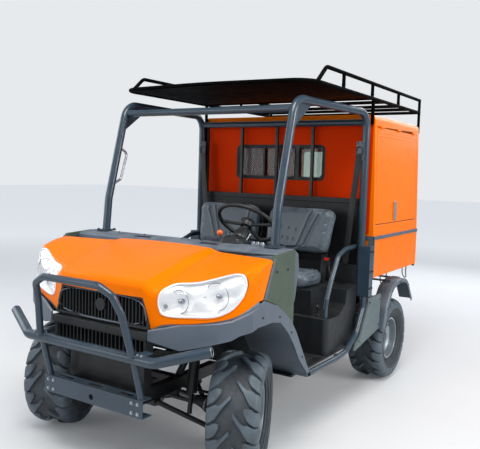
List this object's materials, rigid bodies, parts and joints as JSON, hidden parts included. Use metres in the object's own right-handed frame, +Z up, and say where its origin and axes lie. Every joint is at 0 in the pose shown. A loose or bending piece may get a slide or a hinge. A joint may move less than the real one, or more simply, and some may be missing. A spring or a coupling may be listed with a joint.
{
  "type": "side by side utility vehicle with a tipping bed, tool box and roof rack",
  "caption": "Two seat off road utility vehicle with a roll over frame, brush guard, steered front wheels, tipping cargo bed, enclosed tool box and roof rack.",
  "frame": {"origin": "on the ground below the middle of the overall box", "axes": "-Y is forward, +X is the vehicle's left, +Z is up"},
  "size_m": [1.681, 3.216, 2.247],
  "materials": {
    "orange_paint": "gloss orange enamel",
    "slate_paint": "slate blue-grey powder coat",
    "black_paint": "satin black powder coat",
    "grey_plastic": "dark grey moulded plastic",
    "olive_plastic": "dark olive grey moulded plastic",
    "black_plastic": "black moulded plastic",
    "seat_vinyl": "grey vinyl",
    "tyre_rubber": "dusty black tyre rubber",
    "rim_silver": "silver painted steel",
    "lamp_lens": "clear lens over a bright reflector",
    "glass_pane": "clear safety glass",
    "cast_metal": "dark cast metal",
    "steel_dark": "oily bare steel",
    "rod_chrome": "ground chrome rod"
  },
  "bodies": {
    "chassis": {"frame": "black_paint", "engine": "cast_metal", "gear_cases": "cast_metal", "drive_shafts": "steel_dark", "suspension_arms": "black_paint", "dampers": "black_paint", "rear_hubs": "cast_metal", "brush_guard": "slate_paint", "lower_grille": "black_plastic", "radiator": "black_paint", "front_fenders": "grey_plastic", "dash": "grey_plastic", "side_cowls": "olive_plastic", "floor": "black_plastic", "seat_base": "black_plastic", "seat_cushion_left": "seat_vinyl", "seat_cushion_right": "seat_vinyl", "seat_back_left": "seat_vinyl", "seat_back_right": "seat_vinyl", "rear_screen": "black_paint", "roll_over_frame": "slate_paint", "side_guards": "slate_paint", "rear_side_panels": "olive_plastic", "rear_fenders": "grey_plastic", "steering_column": "black_plastic", "levers": "steel_dark"},
    "hood": {"hood": "orange_paint", "headlamps": "lamp_lens", "upper_grille": "black_plastic"},
    "steering_wheel": {"steering_wheel": "black_plastic"},
    "tie_rods": {"tie_rods": "steel_dark"},
    "knuckle_left": {"knuckle_left": "cast_metal"},
    "knuckle_right": {"knuckle_right": "cast_metal"},
    "wheel_front_left": {"tyre_front_left": "tyre_rubber", "rim_front_left": "rim_silver"},
    "wheel_front_right": {"tyre_front_right": "tyre_rubber", "rim_front_right": "rim_silver"},
    "wheel_rear_left": {"tyre_rear_left": "tyre_rubber", "rim_rear_left": "rim_silver"},
    "wheel_rear_right": {"tyre_rear_right": "tyre_rubber", "rim_rear_right": "rim_silver"},
    "bed": {"bed_tub": "orange_paint", "tool_box": "orange_paint", "window_frame": "black_plastic", "window_glass": "glass_pane", "roof_rack": "black_paint"},
    "tailgate": {"tailgate": "orange_paint"},
    "rear_hatch": {"rear_hatch": "orange_paint", "hatch_glass": "glass_pane"},
    "side_door_left": {"side_door_left": "orange_paint"},
    "side_door_right": {"side_door_right": "orange_paint"},
    "lift_barrel": {"lift_barrel": "black_paint"},
    "lift_rod": {"lift_rod": "rod_chrome"}
  },
  "joints": [
    {"name": "steer_left", "type": "hinge", "parent": "chassis", "child": "knuckle_left", "pos_m": [0.5, -0.992, 0.3175], "axis": [0, 0, 1], "range_deg": [-52, 8]},
    {"name": "steer_right", "type": "hinge", "parent": "chassis", "child": "knuckle_right", "pos_m": [-0.5, -0.992, 0.3175], "axis": [0, 0, 1], "range_deg": [-52, 8]},
    {"name": "steering_wheel_turn", "type": "hinge", "parent": "chassis", "child": "steering_wheel", "pos_m": [0.345, -0.492, 1.285], "axis": [0, 0.6198, 0.7848], "range_deg": [-945, 160]},
    {"name": "tie_rod_slide", "type": "slide", "parent": "chassis", "child": "tie_rods", "axis": [1, 0, 0], "range_m": [-0.0175, 0.1055]},
    {"name": "roll_front_left", "type": "hinge", "parent": "knuckle_left", "child": "wheel_front_left", "pos_m": [0.62331, -0.94218, 0.3175], "axis": [0.9272, 0.3746, 0], "continuous": true},
    {"name": "roll_front_right", "type": "hinge", "parent": "knuckle_right", "child": "wheel_front_right", "pos_m": [-0.62331, -1.04182, 0.3175], "axis": [0.9272, 0.3746, 0], "continuous": true},
    {"name": "roll_rear_left", "type": "hinge", "parent": "chassis", "child": "wheel_rear_left", "pos_m": [0.642, 1.053, 0.3175], "axis": [1, 0, 0], "continuous": true},
    {"name": "roll_rear_right", "type": "hinge", "parent": "chassis", "child": "wheel_rear_right", "pos_m": [-0.642, 1.053, 0.3175], "axis": [1, 0, 0], "continuous": true},
    {"name": "hood_lift", "type": "hinge", "parent": "chassis", "child": "hood", "pos_m": [0, -0.852, 1.142], "axis": [-1, 0, 0], "range_deg": [0, 55]},
    {"name": "bed_tip", "type": "hinge", "parent": "chassis", "child": "bed", "pos_m": [0, 1.428, 0.82], "axis": [-1, 0, 0], "range_deg": [0, 45]},
    {"name": "tailgate_drop", "type": "hinge", "parent": "bed", "child": "tailgate", "pos_m": [0, 1.564, 0.8875], "axis": [-1, 0, 0], "range_deg": [0, 90]},
    {"name": "rear_hatch_lift", "type": "hinge", "parent": "bed", "child": "rear_hatch", "pos_m": [0, 1.564, 1.93], "axis": [1, 0, 0], "range_deg": [0, 90]},
    {"name": "side_door_left_lift", "type": "hinge", "parent": "bed", "child": "side_door_left", "pos_m": [0.7469, 0, 1.943], "axis": [0, -1, 0], "range_deg": [0, 90]},
    {"name": "side_door_right_lift", "type": "hinge", "parent": "bed", "child": "side_door_right", "pos_m": [-0.7469, 0, 1.943], "axis": [0, 1, 0], "range_deg": [0, 90]},
    {"name": "lift_barrel_swing", "type": "hinge", "parent": "chassis", "child": "lift_barrel", "pos_m": [0, 1.258, 0.48], "axis": [-1, 0, 0], "range_deg": [0, 22]},
    {"name": "lift_rod_slide", "type": "slide", "parent": "lift_barrel", "child": "lift_rod", "axis": [0, -0.5026, 0.8645], "range_m": [0, 0.2205]}
  ],
  "couplings": [
    {"joint": "steer_right", "follows": "steer_left", "ratio": 1},
    {"joint": "steering_wheel_turn", "follows": "steer_left", "ratio": 18},
    {"joint": "tie_rod_slide", "follows": "steer_left", "m_per_rad": -0.1146},
    {"joint": "lift_barrel_swing", "follows": "bed_tip", "ratio": 0.4847},
    {"joint": "lift_rod_slide", "follows": "bed_tip", "m_per_rad": 0.2797}
  ]
}
